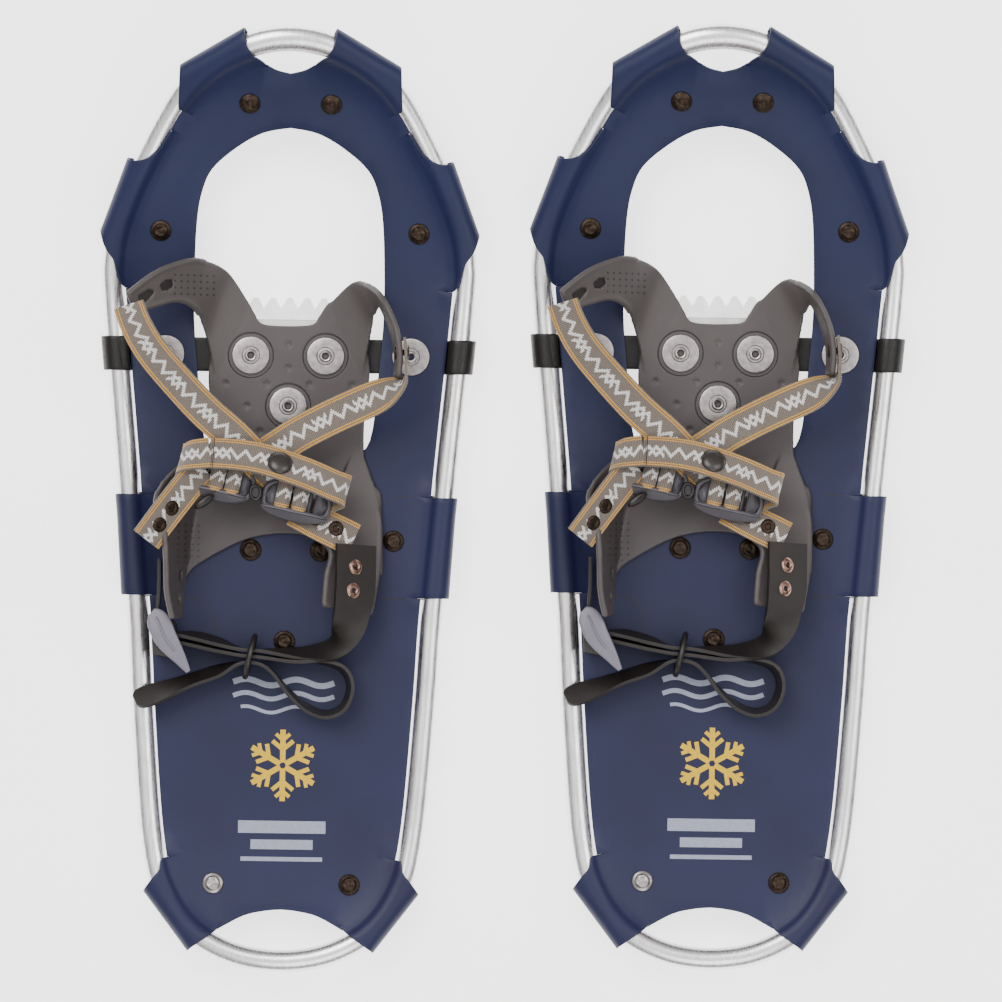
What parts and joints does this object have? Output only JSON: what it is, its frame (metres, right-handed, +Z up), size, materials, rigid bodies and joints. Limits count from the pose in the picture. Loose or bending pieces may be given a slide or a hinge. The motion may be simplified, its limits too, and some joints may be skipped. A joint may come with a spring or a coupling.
{
  "type": "pair of snowshoes",
  "caption": "Child-size snowshoes: bent aluminium tube frames, wrapped plastic decks, crampons, and pivoting harness bindings with webbing and heel straps.",
  "frame": {"origin": "on the surface that the crampon teeth stand on, under the middle of the pair's box", "axes": "+Y toward the toes, +X to the wearer's right, +Z up"},
  "size_m": [0.4144, 0.4879, 0.0682],
  "materials": {
    "frame_aluminium": "satin",
    "deck_plastic": "matte",
    "toe_cord_webbing": "satin",
    "heel_strap_rubber": "matte",
    "black_rubber": "satin",
    "harness_plastic": "matte",
    "patterned_webbing": "matte",
    "adjuster_plastic": "satin",
    "lever_plastic": "satin",
    "crampon_steel": "satin",
    "bright_steel": "satin",
    "bronzed_steel": "satin"
  },
  "bodies": {
    "left_frame": {"left_cord_rivet_left": "bright_steel", "left_cord_rivet_right": "bright_steel", "left_deck": "deck_plastic", "left_frame_tube": "frame_aluminium", "left_heel_crampon": "crampon_steel", "left_shoulder_rivet_left": "bronzed_steel", "left_shoulder_rivet_right": "bronzed_steel", "left_tail_rivet_left": "bright_steel", "left_tail_rivet_right": "bronzed_steel", "left_toe_cord": "toe_cord_webbing", "left_toe_rivet_left": "bronzed_steel", "left_toe_rivet_right": "bronzed_steel", "left_waist_rivet_left": "bronzed_steel", "left_waist_rivet_right": "bronzed_steel"},
    "left_binding": {"left_adjuster_left": "adjuster_plastic", "left_adjuster_right": "adjuster_plastic", "left_crampon_rivet_arch": "bright_steel", "left_crampon_rivet_toe_left": "bright_steel", "left_crampon_rivet_toe_right": "bright_steel", "left_front_webbing_left": "patterned_webbing", "left_front_webbing_right": "patterned_webbing", "left_harness": "harness_plastic", "left_rear_webbing_left": "patterned_webbing", "left_rear_webbing_right": "patterned_webbing", "left_snap_button": "bronzed_steel", "left_toe_crampon": "crampon_steel"},
    "left_heel_loop": {"left_heel_strap": "heel_strap_rubber", "left_heel_buckle": "black_rubber"},
    "left_lever": {"left_cam_lever": "lever_plastic"},
    "left_ring": {"left_keeper_ring": "black_rubber"},
    "right_frame": {"right_cord_rivet_left": "bright_steel", "right_cord_rivet_right": "bright_steel", "right_deck": "deck_plastic", "right_frame_tube": "frame_aluminium", "right_heel_crampon": "crampon_steel", "right_shoulder_rivet_left": "bronzed_steel", "right_shoulder_rivet_right": "bronzed_steel", "right_tail_rivet_left": "bright_steel", "right_tail_rivet_right": "bronzed_steel", "right_toe_cord": "toe_cord_webbing", "right_toe_rivet_left": "bronzed_steel", "right_toe_rivet_right": "bronzed_steel", "right_waist_rivet_left": "bronzed_steel", "right_waist_rivet_right": "bronzed_steel"},
    "right_binding": {"right_adjuster_left": "adjuster_plastic", "right_adjuster_right": "adjuster_plastic", "right_crampon_rivet_arch": "bright_steel", "right_crampon_rivet_toe_left": "bright_steel", "right_crampon_rivet_toe_right": "bright_steel", "right_front_webbing_left": "patterned_webbing", "right_front_webbing_right": "patterned_webbing", "right_harness": "harness_plastic", "right_rear_webbing_left": "patterned_webbing", "right_rear_webbing_right": "patterned_webbing", "right_snap_button": "bronzed_steel", "right_toe_crampon": "crampon_steel"},
    "right_heel_loop": {"right_heel_strap": "heel_strap_rubber", "right_heel_buckle": "black_rubber"},
    "right_lever": {"right_cam_lever": "lever_plastic"},
    "right_ring": {"right_keeper_ring": "black_rubber"}
  },
  "joints": [
    {"name": "left_binding_pivot", "type": "hinge", "parent": "left_frame", "child": "left_binding", "pos_m": [-0.1105, 0.07335, 0.0171], "axis": [-1, 0, 0], "range_deg": [0, 24], "stiffness_Nm_per_rad": 0.8, "springref_deg": -2.86, "deforming": ["left_toe_cord"]},
    {"name": "left_heel_strap_swing", "type": "hinge", "parent": "left_binding", "child": "left_heel_loop", "pos_m": [-0.1105, -0.03205, 0.0465], "axis": [-1, 0, 0], "range_deg": [0, 70]},
    {"name": "left_cam_lever_turn", "type": "hinge", "parent": "left_heel_loop", "child": "left_lever", "pos_m": [-0.1767, -0.05815, 0.0415], "axis": [-0.8716, -0.4903, 0], "range_deg": [0, 100]},
    {"name": "left_keeper_ring_slide", "type": "slide", "parent": "left_heel_loop", "child": "left_ring", "axis": [1, 0, 0], "range_m": [-0.003, 0.003]},
    {"name": "right_binding_pivot", "type": "hinge", "parent": "right_frame", "child": "right_binding", "pos_m": [0.1105, 0.07745, 0.0171], "axis": [-1, 0, 0], "range_deg": [0, 24], "stiffness_Nm_per_rad": 0.8, "springref_deg": -2.86, "deforming": ["right_toe_cord"]},
    {"name": "right_heel_strap_swing", "type": "hinge", "parent": "right_binding", "child": "right_heel_loop", "pos_m": [0.1105, -0.02795, 0.0465], "axis": [-1, 0, 0], "range_deg": [0, 70]},
    {"name": "right_cam_lever_turn", "type": "hinge", "parent": "right_heel_loop", "child": "right_lever", "pos_m": [0.0443, -0.05405, 0.0415], "axis": [-0.8716, -0.4903, 0], "range_deg": [0, 100]},
    {"name": "right_keeper_ring_slide", "type": "slide", "parent": "right_heel_loop", "child": "right_ring", "axis": [1, 0, 0], "range_m": [-0.003, 0.003]},
    {"name": "pair_lift", "type": "slide", "parent": "left_frame", "child": "right_frame", "axis": [0, 0, 1], "range_m": [0, 0.3]}
  ]
}
